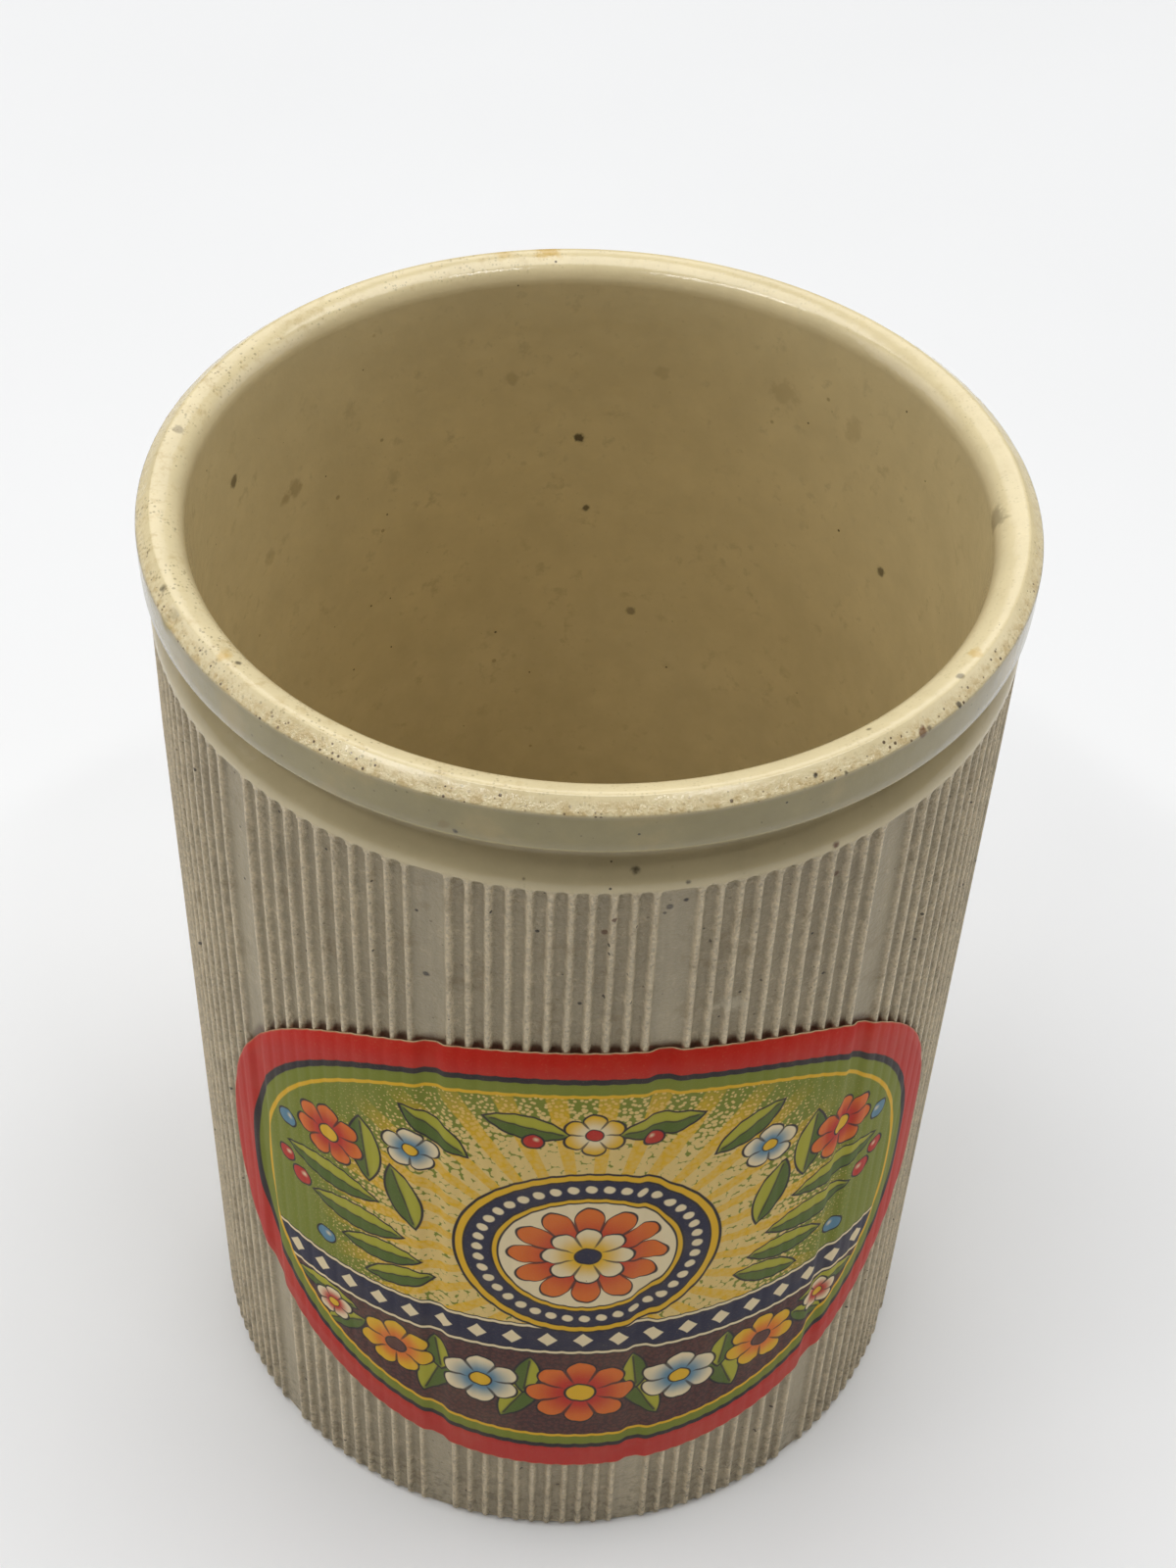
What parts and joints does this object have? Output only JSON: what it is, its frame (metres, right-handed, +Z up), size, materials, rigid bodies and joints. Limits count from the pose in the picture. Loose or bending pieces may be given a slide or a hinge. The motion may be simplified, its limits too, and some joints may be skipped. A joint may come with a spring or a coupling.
{
  "type": "stoneware jam jar",
  "caption": "Straight-sided glazed stoneware jam jar with vertical ribs, a heavy lip, a tie groove under the lip and an oval paper label; it stands free and holds preserves.",
  "frame": {"origin": "centre of the foot, on the plane that the jar stands on", "axes": "+Z up along the jar's axis, -Y out through the middle of the label, +X to the label's right"},
  "size_m": [0.091, 0.091, 0.127],
  "materials": {
    "glazed_stoneware": "gloss",
    "printed_paper": "satin"
  },
  "bodies": {
    "root": {"stoneware_pot": "glazed_stoneware", "paper_label": "printed_paper"}
  },
  "joints": []
}
